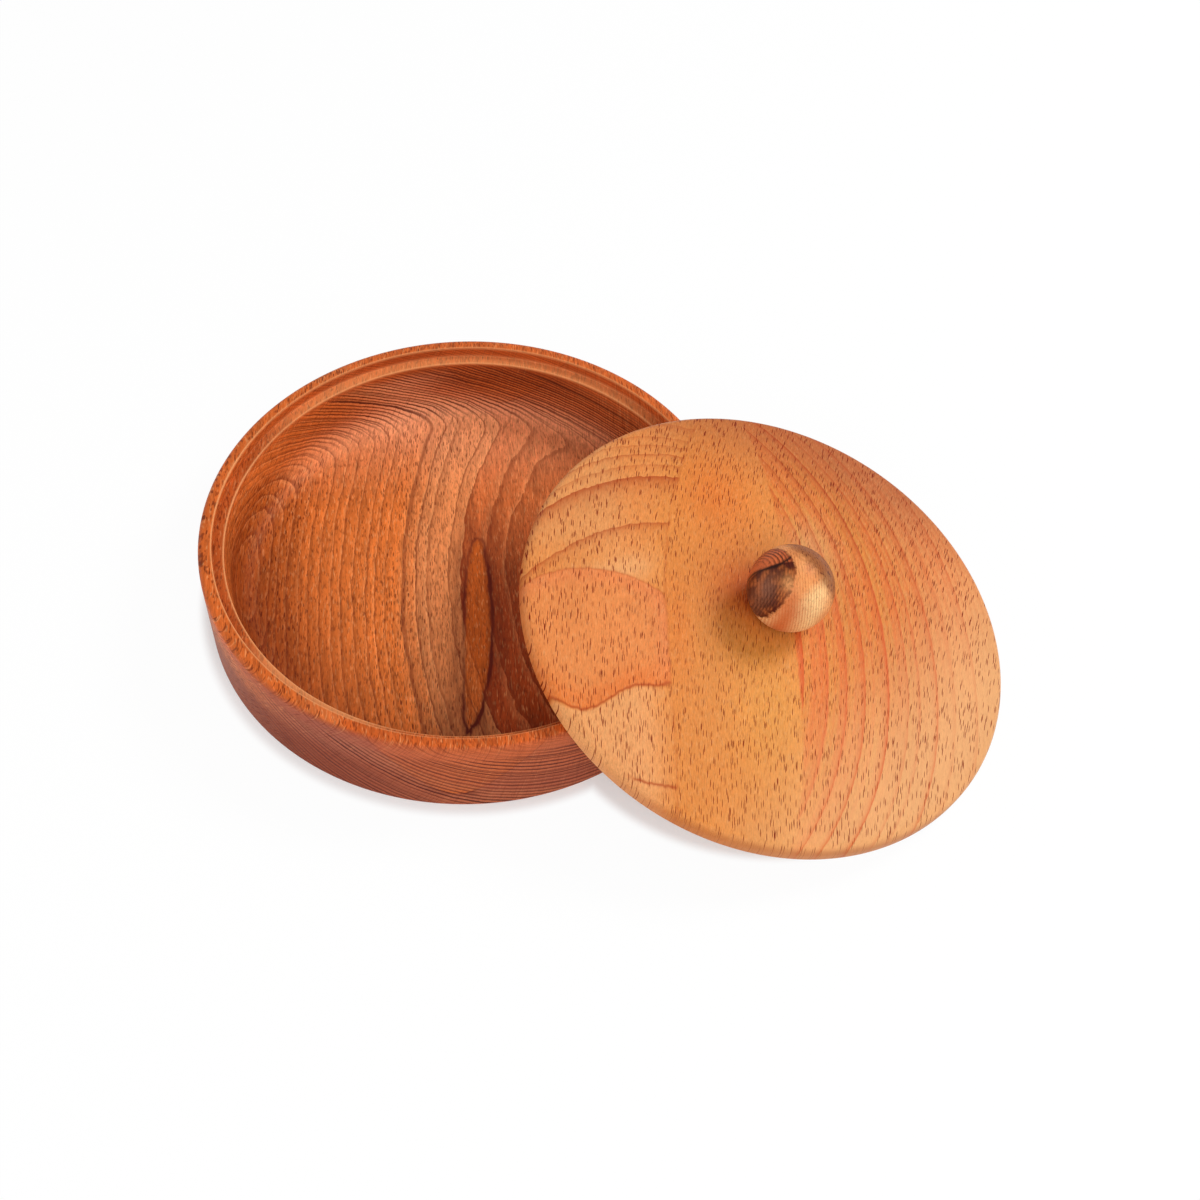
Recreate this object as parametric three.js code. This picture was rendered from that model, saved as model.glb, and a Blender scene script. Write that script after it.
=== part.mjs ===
// Round box turned from beech, with its domed lid taken off.
// The lid leans outside the box: its edge stands on the table and its hollow underside rests on the rim.
// Millimetres, +Z up. The origin is the centre of the flat foot, at table level.
import * as THREE from 'three';

// Lid. Heights on the lid are measured from its seat, the flat ring under its edge.
const LID_RADIUS = 88.3;
const LID_CROWN_HEIGHT = 13.0;
const LID_CENTRE_THICKNESS = 5.5;
const LID_SEAT_RING_WIDTH = 9.0;
const LID_EDGE_HEIGHT = 3.2;
const LID_EDGE_UPPER_ROUND = 3.6;
const LID_EDGE_LOWER_ROUND = 1.6;

// Bowl. The rebate in the rim takes the lid with some play, because beech moves with the weather.
const LID_PLAY = 1.7;
const LEDGE_WIDTH = 3.8;
const RIM_WIDTH = 5.0;
const REBATE_DEPTH = 4.6;
const CAVITY_DEPTH = 24.2;
const FLOOR_THICKNESS = 6.0;
const CAVITY_DRAFT = 2.4;
const COVE_RADIUS = 10.0;
const OUTER_TAPER = 0.7;
const FOOT_ROUND = 1.5;
const RIM_OUTER_ROUND = 2.6;
const EDGE_BREAK = 0.4;

// Knob: a ball with a flat where it stands on the crown, and a blind hole for the dowel.
const KNOB_RADIUS = 15.0;
const KNOB_SEAT_RADIUS = 6.2;
const KNOB_HOLE_DEPTH = 15.0;

// Dowel: fluted so that glue can rise past it. It passes through the lid and ends flush inside.
const DOWEL_RADIUS = 4.0;
const DOWEL_PLAY = 0.15;
const DOWEL_FLUTES = 16;
const DOWEL_FLUTE_DEPTH = 0.35;
const DOWEL_CHAMFER = 0.6;
const DOWEL_END_ROOM = 0.8;

// Leaning pose: which way the lid leans and how far its centre stands outside the wall.
const LEAN_BEARING = THREE.MathUtils.degToRad(-22.5);
const LEAN_OVERHANG = 14.9;

// Gap left between pieces that touch.
const TOUCH_GAP = 0.3;

// Steps of the curves.
const TURN_SEGMENTS = 96;
const KNOB_SEGMENTS = 48;
const ROUND_STEPS = 5;
const COVE_STEPS = 7;
const DOME_STEPS = 9;
const KNOB_STEPS = 15;

// Sizes that follow from those above.
const lidSeatRadius = LID_RADIUS + LID_PLAY;
const cavityRadius = lidSeatRadius - LEDGE_WIDTH;
const bowlRadius = lidSeatRadius + RIM_WIDTH;
const ledgeHeight = FLOOR_THICKNESS + CAVITY_DEPTH;
const bowlHeight = ledgeHeight + REBATE_DEPTH;
const hollowRadius = LID_RADIUS - LID_SEAT_RING_WIDTH;
const hollowDepth = LID_CROWN_HEIGHT - LID_CENTRE_THICKNESS;
const hollowSphere = (hollowRadius ** 2 + hollowDepth ** 2) / (2 * hollowDepth);
const dowelHoleRadius = DOWEL_RADIUS + DOWEL_PLAY;
const knobFlat = Math.sqrt(KNOB_RADIUS ** 2 - KNOB_SEAT_RADIUS ** 2);
const knobCentreHeight = LID_CROWN_HEIGHT + TOUCH_GAP + knobFlat;

// Points of an arc in the profile plane, from one angle to the other, in degrees from +r towards +z.
function arc(centreR, centreZ, radius, fromDegrees, toDegrees, steps) {
  const points = [];
  for (let i = 0; i <= steps; i += 1) {
    const angle = THREE.MathUtils.degToRad(fromDegrees + ((toDegrees - fromDegrees) * i) / steps);
    points.push(new THREE.Vector2(centreR + radius * Math.cos(angle), centreZ + radius * Math.sin(angle)));
  }
  return points;
}

// Turns a profile of (radius, height) points round the Z axis, like a blank on a lathe.
function turned(points, segments) {
  const geometry = new THREE.LatheGeometry(points, segments);
  return geometry.rotateX(Math.PI / 2);
}

function wood(name, geometry, colour, roughness) {
  const material = new THREE.MeshStandardMaterial({ color: colour, roughness, metalness: 0 });
  material.name = name;
  const mesh = new THREE.Mesh(geometry, material);
  mesh.name = name;
  return mesh;
}

// Bowl: a straight wall, a rim stepped inside to carry the lid, and a cove between wall and floor.
function bowlProfile() {
  const footRadius = bowlRadius - OUTER_TAPER;
  const coveStart = cavityRadius - CAVITY_DRAFT;
  return [
    new THREE.Vector2(0, 0),
    ...arc(footRadius - FOOT_ROUND, FOOT_ROUND, FOOT_ROUND, -90, 0, ROUND_STEPS),
    ...arc(bowlRadius - RIM_OUTER_ROUND, bowlHeight - RIM_OUTER_ROUND, RIM_OUTER_ROUND, 0, 90, ROUND_STEPS),
    new THREE.Vector2(lidSeatRadius + EDGE_BREAK, bowlHeight),
    new THREE.Vector2(lidSeatRadius, bowlHeight - EDGE_BREAK),
    new THREE.Vector2(lidSeatRadius, ledgeHeight),
    new THREE.Vector2(cavityRadius + EDGE_BREAK, ledgeHeight),
    new THREE.Vector2(cavityRadius, ledgeHeight - EDGE_BREAK),
    ...arc(coveStart - COVE_RADIUS, FLOOR_THICKNESS + COVE_RADIUS, COVE_RADIUS, 0, -90, COVE_STEPS),
    new THREE.Vector2(0, FLOOR_THICKNESS),
  ];
}

// Radius of the dome that runs from the crown into the rounded edge without a corner.
function domeRadius() {
  const reach = LID_RADIUS - LID_EDGE_UPPER_ROUND;
  const rise = LID_CROWN_HEIGHT - LID_EDGE_HEIGHT;
  return (reach ** 2 + rise ** 2 - LID_EDGE_UPPER_ROUND ** 2) / (2 * (rise - LID_EDGE_UPPER_ROUND));
}

// Height of the dome at a given distance from the lid's axis.
function domeHeight(r) {
  const radius = domeRadius();
  return LID_CROWN_HEIGHT - radius + Math.sqrt(radius ** 2 - r ** 2);
}

// Height of the hollow underside at a given distance from the lid's axis.
function hollowHeight(r) {
  return hollowDepth - hollowSphere + Math.sqrt(hollowSphere ** 2 - r ** 2);
}

// Points along a surface of the lid between two distances from the axis.
function alongSurface(height, fromR, toR, steps) {
  const points = [];
  for (let i = 0; i <= steps; i += 1) {
    const r = fromR + ((toR - fromR) * i) / steps;
    points.push(new THREE.Vector2(r, height(r)));
  }
  return points;
}

// Lid: hollowed underneath, with a flat ring that sits on the ledge and a bore for the dowel.
function lidProfile() {
  const radius = domeRadius();
  const edgeCentre = LID_RADIUS - LID_EDGE_UPPER_ROUND;
  const meeting = THREE.MathUtils.radToDeg(Math.acos(edgeCentre / (radius - LID_EDGE_UPPER_ROUND)));
  const meetingR = edgeCentre + LID_EDGE_UPPER_ROUND * Math.cos(THREE.MathUtils.degToRad(meeting));
  const bore = new THREE.Vector2(dowelHoleRadius, hollowHeight(dowelHoleRadius));
  return [
    bore,
    ...alongSurface(hollowHeight, dowelHoleRadius, hollowRadius, DOME_STEPS).slice(1),
    ...arc(LID_RADIUS - LID_EDGE_LOWER_ROUND, LID_EDGE_LOWER_ROUND, LID_EDGE_LOWER_ROUND, -90, 0, ROUND_STEPS),
    ...arc(edgeCentre, LID_EDGE_HEIGHT, LID_EDGE_UPPER_ROUND, 0, meeting, ROUND_STEPS),
    ...alongSurface(domeHeight, meetingR, dowelHoleRadius, DOME_STEPS).slice(1),
    bore.clone(),
  ];
}

// Knob, drawn about the ball's centre: out along the flat, over the ball, down the hole's wall.
function knobProfile() {
  const flatAngle = -THREE.MathUtils.radToDeg(Math.acos(KNOB_SEAT_RADIUS / KNOB_RADIUS));
  const holeTop = KNOB_HOLE_DEPTH - knobFlat;
  const ball = arc(0, 0, KNOB_RADIUS, flatAngle, 90, KNOB_STEPS);
  ball[ball.length - 1].x = 0;
  return [
    new THREE.Vector2(0, holeTop),
    new THREE.Vector2(dowelHoleRadius, holeTop),
    new THREE.Vector2(dowelHoleRadius, -knobFlat),
    ...ball,
  ];
}

// Outline of the fluted dowel: a circle with a shallow cosine groove for each flute.
function dowelOutline(radius) {
  const points = [];
  const steps = DOWEL_FLUTES * 4;
  for (let i = 0; i < steps; i += 1) {
    const angle = (2 * Math.PI * i) / steps;
    const groove = 0.5 * DOWEL_FLUTE_DEPTH * (1 - Math.cos(DOWEL_FLUTES * angle));
    points.push(new THREE.Vector2((radius - groove) * Math.cos(angle), (radius - groove) * Math.sin(angle)));
  }
  return new THREE.Shape(points);
}

// Dowel: from flush with the hollow underside, through the lid, to just short of the hole's end.
function dowelGeometry() {
  const foot = hollowHeight(dowelHoleRadius);
  const top = knobCentreHeight - knobFlat + KNOB_HOLE_DEPTH - DOWEL_END_ROOM;
  const geometry = new THREE.ExtrudeGeometry(dowelOutline(DOWEL_RADIUS - DOWEL_CHAMFER), {
    depth: top - foot - 2 * DOWEL_CHAMFER,
    bevelEnabled: true,
    bevelThickness: DOWEL_CHAMFER,
    bevelSize: DOWEL_CHAMFER,
    bevelSegments: 1,
    steps: 1,
    curveSegments: 1,
  });
  return geometry.translate(0, 0, foot + DOWEL_CHAMFER);
}

// Height of the lid's seat centre when its edge just clears the table at this tilt.
function seatCentreHeight(tilt) {
  const round = LID_EDGE_LOWER_ROUND;
  return TOUCH_GAP + round + (LID_RADIUS - round) * Math.sin(tilt) - round * Math.cos(tilt);
}

// Room between the rim's rounded corner and the hollow underside at this tilt.
function roomOverRim(tilt) {
  const drop = hollowDepth - hollowSphere;
  const sphereR = bowlRadius + LEAN_OVERHANG + drop * Math.sin(tilt);
  const sphereZ = seatCentreHeight(tilt) + drop * Math.cos(tilt);
  const cornerR = bowlRadius - RIM_OUTER_ROUND;
  const cornerZ = bowlHeight - RIM_OUTER_ROUND;
  return hollowSphere - RIM_OUTER_ROUND - Math.hypot(cornerR - sphereR, cornerZ - sphereZ);
}

// Tilt at which the underside comes down onto the rim, found by halving.
function leanTilt() {
  let low = 0;
  let high = Math.PI / 3;
  for (let i = 0; i < 50; i += 1) {
    const middle = (low + high) / 2;
    if (roomOverRim(middle) < TOUCH_GAP) {
      low = middle;
    } else {
      high = middle;
    }
  }
  return high;
}

function makeBowl() {
  return wood('bowl', turned(bowlProfile(), TURN_SEGMENTS), 0xb5622f, 0.5);
}

function makeLid() {
  return wood('lid', turned(lidProfile(), TURN_SEGMENTS), 0xdc9a5c, 0.5);
}

function makeKnob() {
  const geometry = turned(knobProfile(), KNOB_SEGMENTS).translate(0, 0, knobCentreHeight);
  return wood('knob', geometry, 0xd9a36c, 0.45);
}

function makeDowel() {
  return wood('knob_dowel', dowelGeometry(), 0xd8ab78, 0.6);
}

// Lid, knob and dowel move as one, so they share a group that carries the leaning pose.
function leaningLid() {
  const group = new THREE.Group();
  group.name = 'leaning_lid';
  group.add(makeLid(), makeKnob(), makeDowel());
  const tilt = leanTilt();
  const reach = bowlRadius + LEAN_OVERHANG;
  const hinge = new THREE.Vector3(-Math.sin(LEAN_BEARING), Math.cos(LEAN_BEARING), 0);
  group.quaternion.setFromAxisAngle(hinge, tilt);
  group.position.set(reach * Math.cos(LEAN_BEARING), reach * Math.sin(LEAN_BEARING), seatCentreHeight(tilt));
  return group;
}

const box = new THREE.Group();
box.name = 'lidded_box';
box.add(makeBowl(), leaningLid());

export default box;
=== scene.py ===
"""Round box turned from beech, with its domed lid taken off and leaning on the rim.

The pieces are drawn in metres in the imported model's own frame: +Z is up along the box's axis and the
origin is the centre of its foot. Wood figure is worked out in millimetres in the material nodes.
"""

import math

import bpy
import numpy as np
from bpy.props import FloatProperty, FloatVectorProperty, IntProperty, PointerProperty
from bpy.types import Operator, Panel, PropertyGroup
from mathutils import Matrix, Quaternion, Vector


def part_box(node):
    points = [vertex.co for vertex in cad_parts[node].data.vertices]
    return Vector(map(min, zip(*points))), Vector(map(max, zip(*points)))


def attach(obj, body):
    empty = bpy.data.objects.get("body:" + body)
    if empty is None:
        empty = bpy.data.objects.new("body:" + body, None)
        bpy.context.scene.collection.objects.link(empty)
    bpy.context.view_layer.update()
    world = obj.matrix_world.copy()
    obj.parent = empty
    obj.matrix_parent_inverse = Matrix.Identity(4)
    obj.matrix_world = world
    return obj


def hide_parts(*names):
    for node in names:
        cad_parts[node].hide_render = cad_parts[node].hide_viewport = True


bl_info = {
    "name": "Turned Box",
    "version": (1, 0, 0),
    "blender": (4, 5, 0),
    "location": "View3D > Sidebar > Turned Box",
    "description": "A round beech box with its domed lid leaning on the rim",
    "category": "Add Mesh",
}

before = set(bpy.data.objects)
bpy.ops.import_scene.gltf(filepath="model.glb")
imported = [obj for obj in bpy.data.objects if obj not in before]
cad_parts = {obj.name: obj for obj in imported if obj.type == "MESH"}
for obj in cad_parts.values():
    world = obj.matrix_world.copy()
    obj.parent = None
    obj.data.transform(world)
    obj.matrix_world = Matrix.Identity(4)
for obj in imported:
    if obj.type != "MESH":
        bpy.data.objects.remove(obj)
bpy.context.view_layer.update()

MM = 0.001

# A profile's point that is nearer to the axis than this lies on it.
ON_AXIS = 1e-9

# Steps round the axis: of box and lid, of the ball, and of each flute of the dowel.
WIDE_STEPS = 288
BALL_STEPS = 144
FLUTE_STEPS = 12


# Settings


def linear(code):
    """Linear colour of a colour written as six hexadecimal digits."""
    parts = [int(code[i : i + 2], 16) / 255 for i in (0, 2, 4)]
    return tuple(p / 12.92 if p <= 0.04045 else ((p + 0.055) / 1.055) ** 2.4 for p in parts)


def length(name, description, default):
    """A length property in metres."""
    return FloatProperty(name=name, description=description, default=default, unit="LENGTH", precision=5)


def number(name, description, default):
    """A plain number as a property."""
    return FloatProperty(name=name, description=description, default=default, precision=4)


def turn_angle(name, description, degrees):
    """An angle property, given in degrees."""
    default = math.radians(degrees)
    return FloatProperty(name=name, description=description, default=default, subtype="ANGLE")


def colour(name, description, code):
    """A colour property."""
    return FloatVectorProperty(
        name=name, description=description, default=linear(code), subtype="COLOR", min=0, max=1
    )


class BowlSizes(PropertyGroup):
    """Section of the box itself."""

    foot_round: length("Foot round", "Radius of the lower outer edge", 1.5 * MM)
    outer_taper: length("Outer taper", "How much smaller the foot's radius is than the rim's", 0.7 * MM)
    rim_width: length("Rim width", "Width of the rim outside the lid's rebate", 5.0 * MM)
    rim_round: length("Rim round", "Radius of the rim's outer edge", 2.6 * MM)
    rebate_depth: length("Rebate depth", "Height of the rim above the lid's ledge", 4.6 * MM)
    ledge_width: length("Ledge width", "Width of the ledge that carries the lid", 3.8 * MM)
    cavity_draft: length("Cavity draft", "How much the inner wall leans in, from ledge to cove", 2.4 * MM)
    cove_radius: length("Cove radius", "Radius between inner wall and floor", 10.0 * MM)
    floor_thickness: length("Floor thickness", "Thickness of the floor", 6.0 * MM)
    edge_break: length("Edge break", "Radius left by sanding on the sharp edges", 0.45 * MM)


class LidSizes(PropertyGroup):
    """Section of the lid, measured from the seat under its edge."""

    radius: length("Radius", "Radius of the lid, a hair under the solid's", 88.27 * MM)
    crown_height: length("Crown height", "Height of the dome's middle", 13.0 * MM)
    centre_thickness: length("Centre thickness", "Thickness of the lid in the middle", 5.5 * MM)
    seat_ring_width: length("Seat ring width", "Width of the flat ring that sits on the ledge", 9.0 * MM)
    edge_height: length("Edge height", "Height of the edge's upper round", 3.2 * MM)
    edge_upper_round: length("Upper round", "Radius of the upper edge", 3.6 * MM)
    edge_lower_round: length("Lower round", "Radius of the lower edge", 1.6 * MM)


class KnobSizes(PropertyGroup):
    """Ball knob and the dowel that holds it."""

    radius: length("Radius", "Radius of the ball, a hair under the solid's", 14.94 * MM)
    seat_radius: length("Seat radius", "Radius of the flat that stands on the lid", 6.2 * MM)
    seat_gap: length("Seat gap", "Gap between ball and crown", 0.3 * MM)
    hole_depth: length("Hole depth", "Depth of the blind hole for the dowel", 15.0 * MM)
    dowel_radius: length("Dowel radius", "Radius of the dowel over its flutes", 4.0 * MM)
    dowel_play: length("Dowel play", "Room round the dowel for glue", 0.15 * MM)
    dowel_flutes: IntProperty(name="Flutes", description="Flutes round the dowel", default=16)
    dowel_flute_depth: length("Flute depth", "Depth of the dowel's flutes", 0.35 * MM)
    dowel_chamfer: length("Dowel chamfer", "Chamfer at both ends of the dowel", 0.6 * MM)
    dowel_end_room: length("Dowel end room", "Room left above the dowel in its hole", 0.8 * MM)


class BowlWood(PropertyGroup):
    """Growth rings and colours of the box's wood. Lengths of the rings are in millimetres."""

    pith_x: number("Pith x", "Place of the pith, to the right", 49.5)
    pith_z: number("Pith height", "Height of the pith", 147.0)
    sweep: number("Sweep", "How the rings bend along the grain", 0.0008)
    ring_width: number("Ring width", "Mean width of a growth ring", 2.3)
    heart_edge: number("Heart edge", "Where the darker heart ends", 150.3)
    orange: colour("Orange", "Main colour", "e27633")
    tan: colour("Tan", "Paler rings beside the heart", "e88a50")
    heart: colour("Heart", "Darker heart side", "d66f38")
    deep_heart: colour("Deep heart", "Darkest part of the heart side", "b44a1c")
    outer: colour("Outer", "Browner wood far from the heart", "b65a20")
    early: colour("Early", "Pale start of a ring", "f2a56a")
    late: colour("Late", "Dark end of a ring", "7a2a0c")
    inner_end: colour("Inner end grain", "End grain of the inner wall", "8e3816")
    front_end: colour("Front end grain", "End grain at the front, below the wedge", "b4603e")
    outer_end: colour("Outer end grain", "End grain of the outer wall", "8c4e42")
    end_line: colour("End line", "Ring lines in the end grain", "48140a")
    # Painted shade on the floor at the front left, under the front wall.
    painted_front_shade: colour("Front left", "Darker wood at the front left of the floor", "7e2e0a")
    # Cove is a painted highlight in the cove at the back. It also tints a pale patch on the back wall.
    cove: colour("Cove", "Paler wood in the cove at the back", "f2a47a")
    rim: colour("Rim", "Rim and ledge", "cc5e24")
    wedge: colour("Wedge", "Orange wedge", "c25a1a")
    wedge_rim: colour("Wedge on the rim", "Orange wedge where it reaches the rim", "cc5e26")
    streak: colour("Streak", "Dark outline of the wedge", "5e1604")
    ray: colour("Ray", "Medullary rays", "5a1402")


class LidWood(PropertyGroup):
    """Colours of the lid's wood."""

    honey: colour("Honey", "Main colour of the left part", "e08d52")
    pale: colour("Pale", "Light bands", "e4ac74")
    island: colour("Island", "Closed figure on the left", "dc7e48")
    middle: colour("Middle", "Plain wood in the middle", "d6843e")
    olive: colour("Olive", "Greenish yellow of the middle", "d8933f")
    orange: colour("Orange", "Orange clouds", "d8702a")
    right: colour("Right", "Right part", "d08138")
    reddish: colour("Reddish", "Redder rings of the right part", "da7236")
    arc: colour("Arc", "Dark end of the right part's rings", "cc4e1a")
    line: colour("Line", "Dark lines of the rings", "a4380e")
    # Painted shadow of the knob on the lid, beside its foot.
    pool: colour("Oil at the knob", "Where the oil gathered beside the knob", "b04206")
    shade: colour("Shade", "Darker upper edge", "a85a34")
    ray: colour("Ray", "Medullary rays", "781600")


class KnobWood(PropertyGroup):
    """Colours of the knob's and dowel's wood."""

    pale: colour("Pale", "Pale side", "ea9e60")
    pink: colour("Pink", "Rings of the pale side", "c4602e")
    # The palest side is a painted highlight on the ball's lower front. Straw is painted shade on its upper
    # right.
    highlight_cream: colour("Palest side", "Front of the pale side", "f8d092")
    painted_shade_brown: colour("Straw", "Upper part of the pale side", "7a3c10")
    red: colour("Red", "Upper part of the dark side", "d0683a")
    heart: colour("Heart", "Orange brown of the dark side", "bc6430")
    grey: colour("Greyish brown", "Weathered patch on the dark side", "9a6448")
    maroon: colour("Maroon", "Darkest wood", "4e160a")
    streak: colour("Streak", "Streak in the dark side", "200804")
    dowel: colour("Dowel", "Plain beech of the dowel", "dcb181")


class Studio(PropertyGroup):
    """Camera, table and lamps."""

    camera_distance: length("Camera distance", "From the camera to its aim", 0.684)
    camera_elevation: turn_angle("Camera elevation", "Height of the view", 49.788)
    camera_roll: turn_angle("Camera roll", "Turn of the picture", 2.258)
    focal_length: number("Focal length", "In millimetres", 57.579)
    sensor_width: number("Sensor width", "In millimetres", 36.0)
    picture_width: number("Picture width", "In pixels", 1200.0)
    aim_x: number("Aim x", "Pixel that shows the aim, from the left", 467.945)
    aim_y: number("Aim y", "Pixel that shows the aim, from the top", 529.596)
    aim_drop: length("Aim drop", "How far the aim lies below the middle of the rim", 1.55 * MM)
    table_side: length("Table side", "From the middle of the table to its edge", 3.0)
    table: colour("Table", "Colour of the table", "fafafa")
    table_whiteness: number("Table whiteness", "Share of white", 0.95)
    sky_strength: number("Sky", "Light from all round", 0.38)
    main_power: number("Main light", "Watts, from the front", 7.5)
    right_power: number("Right light", "Watts, from the right", 8.0)
    left_power: number("Left light", "Watts, from the left", 2.6)


class TurnedBox(PropertyGroup):
    """All settings of the box."""

    bowl: PointerProperty(type=BowlSizes)
    lid: PointerProperty(type=LidSizes)
    knob: PointerProperty(type=KnobSizes)
    bowl_wood: PointerProperty(type=BowlWood)
    lid_wood: PointerProperty(type=LidWood)
    knob_wood: PointerProperty(type=KnobWood)
    studio: PointerProperty(type=Studio)


def settings():
    """The box's settings in this scene."""
    return bpy.context.scene.turned_box


# Profiles and turned surfaces


def arc(centre, radius, start, end, steps):
    """Points centre + radius (cos a, sin a), with a from start to end in degrees."""
    angle = np.radians(np.linspace(start, end, steps + 1))
    return np.column_stack((centre[0] + radius * np.cos(angle), centre[1] + radius * np.sin(angle)))


def rounded(corners, steps):
    """Outline of straight lines whose corners are arcs that touch both lines.

    Each corner is (distance from the axis, height, radius of its arc). The arc's centre lies on the
    corner's bisector, radius / sin(half the corner's angle) from the corner.
    """
    points = []
    count = len(corners)
    for i, (r, z, radius) in enumerate(corners):
        here = np.array((r, z))
        if radius == 0 or i in (0, count - 1):
            points.append(here[None, :])
            continue
        back = np.array(corners[i - 1][:2]) - here
        ahead = np.array(corners[i + 1][:2]) - here
        back /= np.linalg.norm(back)
        ahead /= np.linalg.norm(ahead)
        half = 0.5 * math.acos(float(np.clip(back @ ahead, -1, 1)))
        middle = (back + ahead) / np.linalg.norm(back + ahead)
        centre = here + middle * radius / math.sin(half)
        start = here + back * radius / math.tan(half) - centre
        end = here + ahead * radius / math.tan(half) - centre
        turn = math.atan2(start[0] * end[1] - start[1] * end[0], float(start @ end))
        angle = math.atan2(start[1], start[0]) + turn * np.linspace(0, 1, steps + 1)
        points.append(centre + radius * np.column_stack((np.cos(angle), np.sin(angle))))
    return np.vstack(points)


def evenly(path, step):
    """The same outline, with each of its lines cut into equal parts no longer than step."""
    pieces = [path[:1]]
    for a, b in zip(path[:-1], path[1:]):
        count = max(1, math.ceil(float(np.linalg.norm(b - a)) / step))
        share = np.linspace(0, 1, count + 1)[1:, None]
        pieces.append(a + (b - a) * share)
    return np.vstack(pieces)


def add_object(name, data):
    """A new object in the scene, which shows the data."""
    made = bpy.data.objects.new(name, data)
    bpy.context.scene.collection.objects.link(made)
    return made


def turned(name, path, segments, flutes=(0, 0.0), place=Matrix.Identity(4), grain=(0, 1, 0)):
    """Surface of revolution: x = r cos a, y = r sin a, z = h, for each profile point (r, h).

    A profile that doesn't end on the axis is closed on itself. Flutes, given as (count, depth), take
    depth / 2 (1 - cos(count a)) off the radius. place carries the piece to its pose. The points keep
    end_grain, the size of the cosine between the surface's normal and the grain.
    """
    count, depth = flutes
    on_axis = path[:, 0] < ON_AXIS
    rings = path[~on_axis]
    angle = np.linspace(0, 2 * np.pi, segments, endpoint=False)
    groove = 0.5 * depth * (1 - np.cos(count * angle))
    radius = rings[:, :1] - groove[None, :]
    height = np.broadcast_to(rings[:, 1:], radius.shape)
    points = np.stack((radius * np.cos(angle), radius * np.sin(angle), height), axis=-1).reshape(-1, 3)
    index = np.arange(len(rings) * segments).reshape(len(rings), segments)
    upper = index if not on_axis.any() else index[:-1]
    lower = np.roll(index, -1, axis=0)[: len(upper)]
    quads = np.stack((upper, np.roll(upper, -1, axis=1), np.roll(lower, -1, axis=1), lower), axis=-1)
    faces = quads.reshape(-1, 4).tolist()
    for pole, ring, first in ((path[0], index[0], True), (path[-1], index[-1], False)):
        if pole[0] < ON_AXIS:
            tip = np.full(segments, len(points))
            points = np.vstack((points, (0.0, 0.0, pole[1])))
            fan = (tip, np.roll(ring, -1), ring) if first else (tip, ring, np.roll(ring, -1))
            faces += np.stack(fan, axis=-1).tolist()
    mesh = bpy.data.meshes.new(name)
    mesh.from_pydata(points.tolist(), [], faces)
    mesh.transform(place)
    mesh.polygons.foreach_set("use_smooth", np.ones(len(mesh.polygons), bool))
    mesh.update()
    normals = np.empty(len(points) * 3, np.float32)
    mesh.vertex_normals.foreach_get("vector", normals)
    along = place.to_3x3() @ Vector(grain)
    across = np.abs(normals.reshape(-1, 3) @ np.array(along))
    mesh.attributes.new("end_grain", "FLOAT", "POINT").data.foreach_set("value", across)
    return add_object(name, mesh)


def rests_on_frame(piece, node, body, material):
    """Gives a piece its material, and lets it stand for a CAD node and move with its body."""
    piece.data.materials.append(material)
    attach(piece, body)
    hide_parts(node)


def lid_pose():
    """Pose of the leaning lid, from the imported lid: its points spread least along its axis.

    The lid's own frame has its origin in the middle of the seat, under the dome.
    """
    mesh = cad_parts["lid"].data
    points = np.empty(len(mesh.vertices) * 3)
    mesh.vertices.foreach_get("co", points)
    points = points.reshape(-1, 3)
    middle = points.mean(axis=0)
    axis = np.linalg.eigh(np.cov((points - middle).T))[1][:, 0]
    axis = axis * math.copysign(1, axis[2])
    seat = middle + axis * float(((points - middle) @ axis).min())
    turn = Vector((0, 0, 1)).rotation_difference(Vector(axis))
    return Matrix.LocRotScale(Vector(seat), turn, None)


# Sections of the pieces


def bowl_path():
    """Section of the box, as straight lines with round corners.

    From the axis: foot, outer wall, rim, rebate, ledge, inner wall, cove and floor.
    """
    sizes = settings().bowl
    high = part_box("bowl")[1]
    rim = high.x
    top = high.z
    foot = rim - sizes.outer_taper
    seat = rim - sizes.rim_width
    cavity = seat - sizes.ledge_width
    wall_foot = cavity - sizes.cavity_draft
    ledge = top - sizes.rebate_depth
    floor = sizes.floor_thickness
    corners = [
        (0, 0, 0),
        (foot, 0, sizes.foot_round),
        (rim, top, sizes.rim_round),
        (seat, top, sizes.edge_break),
        (seat, ledge, 0.5 * sizes.edge_break),
        (cavity, ledge, sizes.edge_break),
        (wall_foot, floor, sizes.cove_radius),
        (0, floor, 0),
    ]
    return evenly(rounded(corners, steps=10), step=4 * MM)


def dome_radius(lid):
    """Radius R of the dome, which runs into the edge's round, of radius e, without a corner.

    The two touch where their centres are R - e apart. reach and rise lead from the round's centre to
    the axis and up to the crown, so reach squared + (R - rise) squared = (R - e) squared.
    """
    reach = lid.radius - lid.edge_upper_round
    rise = lid.crown_height - lid.edge_height
    return (reach**2 + rise**2 - lid.edge_upper_round**2) / (2 * (rise - lid.edge_upper_round))


def hollow_height(lid, r):
    """Height of the hollow underside at r from the lid's axis: part of a sphere of radius R.

    It is depth - R + root(R squared - r squared), and 0 where the seat ring begins.
    """
    rim = lid.radius - lid.seat_ring_width
    depth = lid.crown_height - lid.centre_thickness
    sphere = (rim**2 + depth**2) / (2 * depth)
    return depth - sphere + np.sqrt(sphere**2 - r**2)


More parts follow.
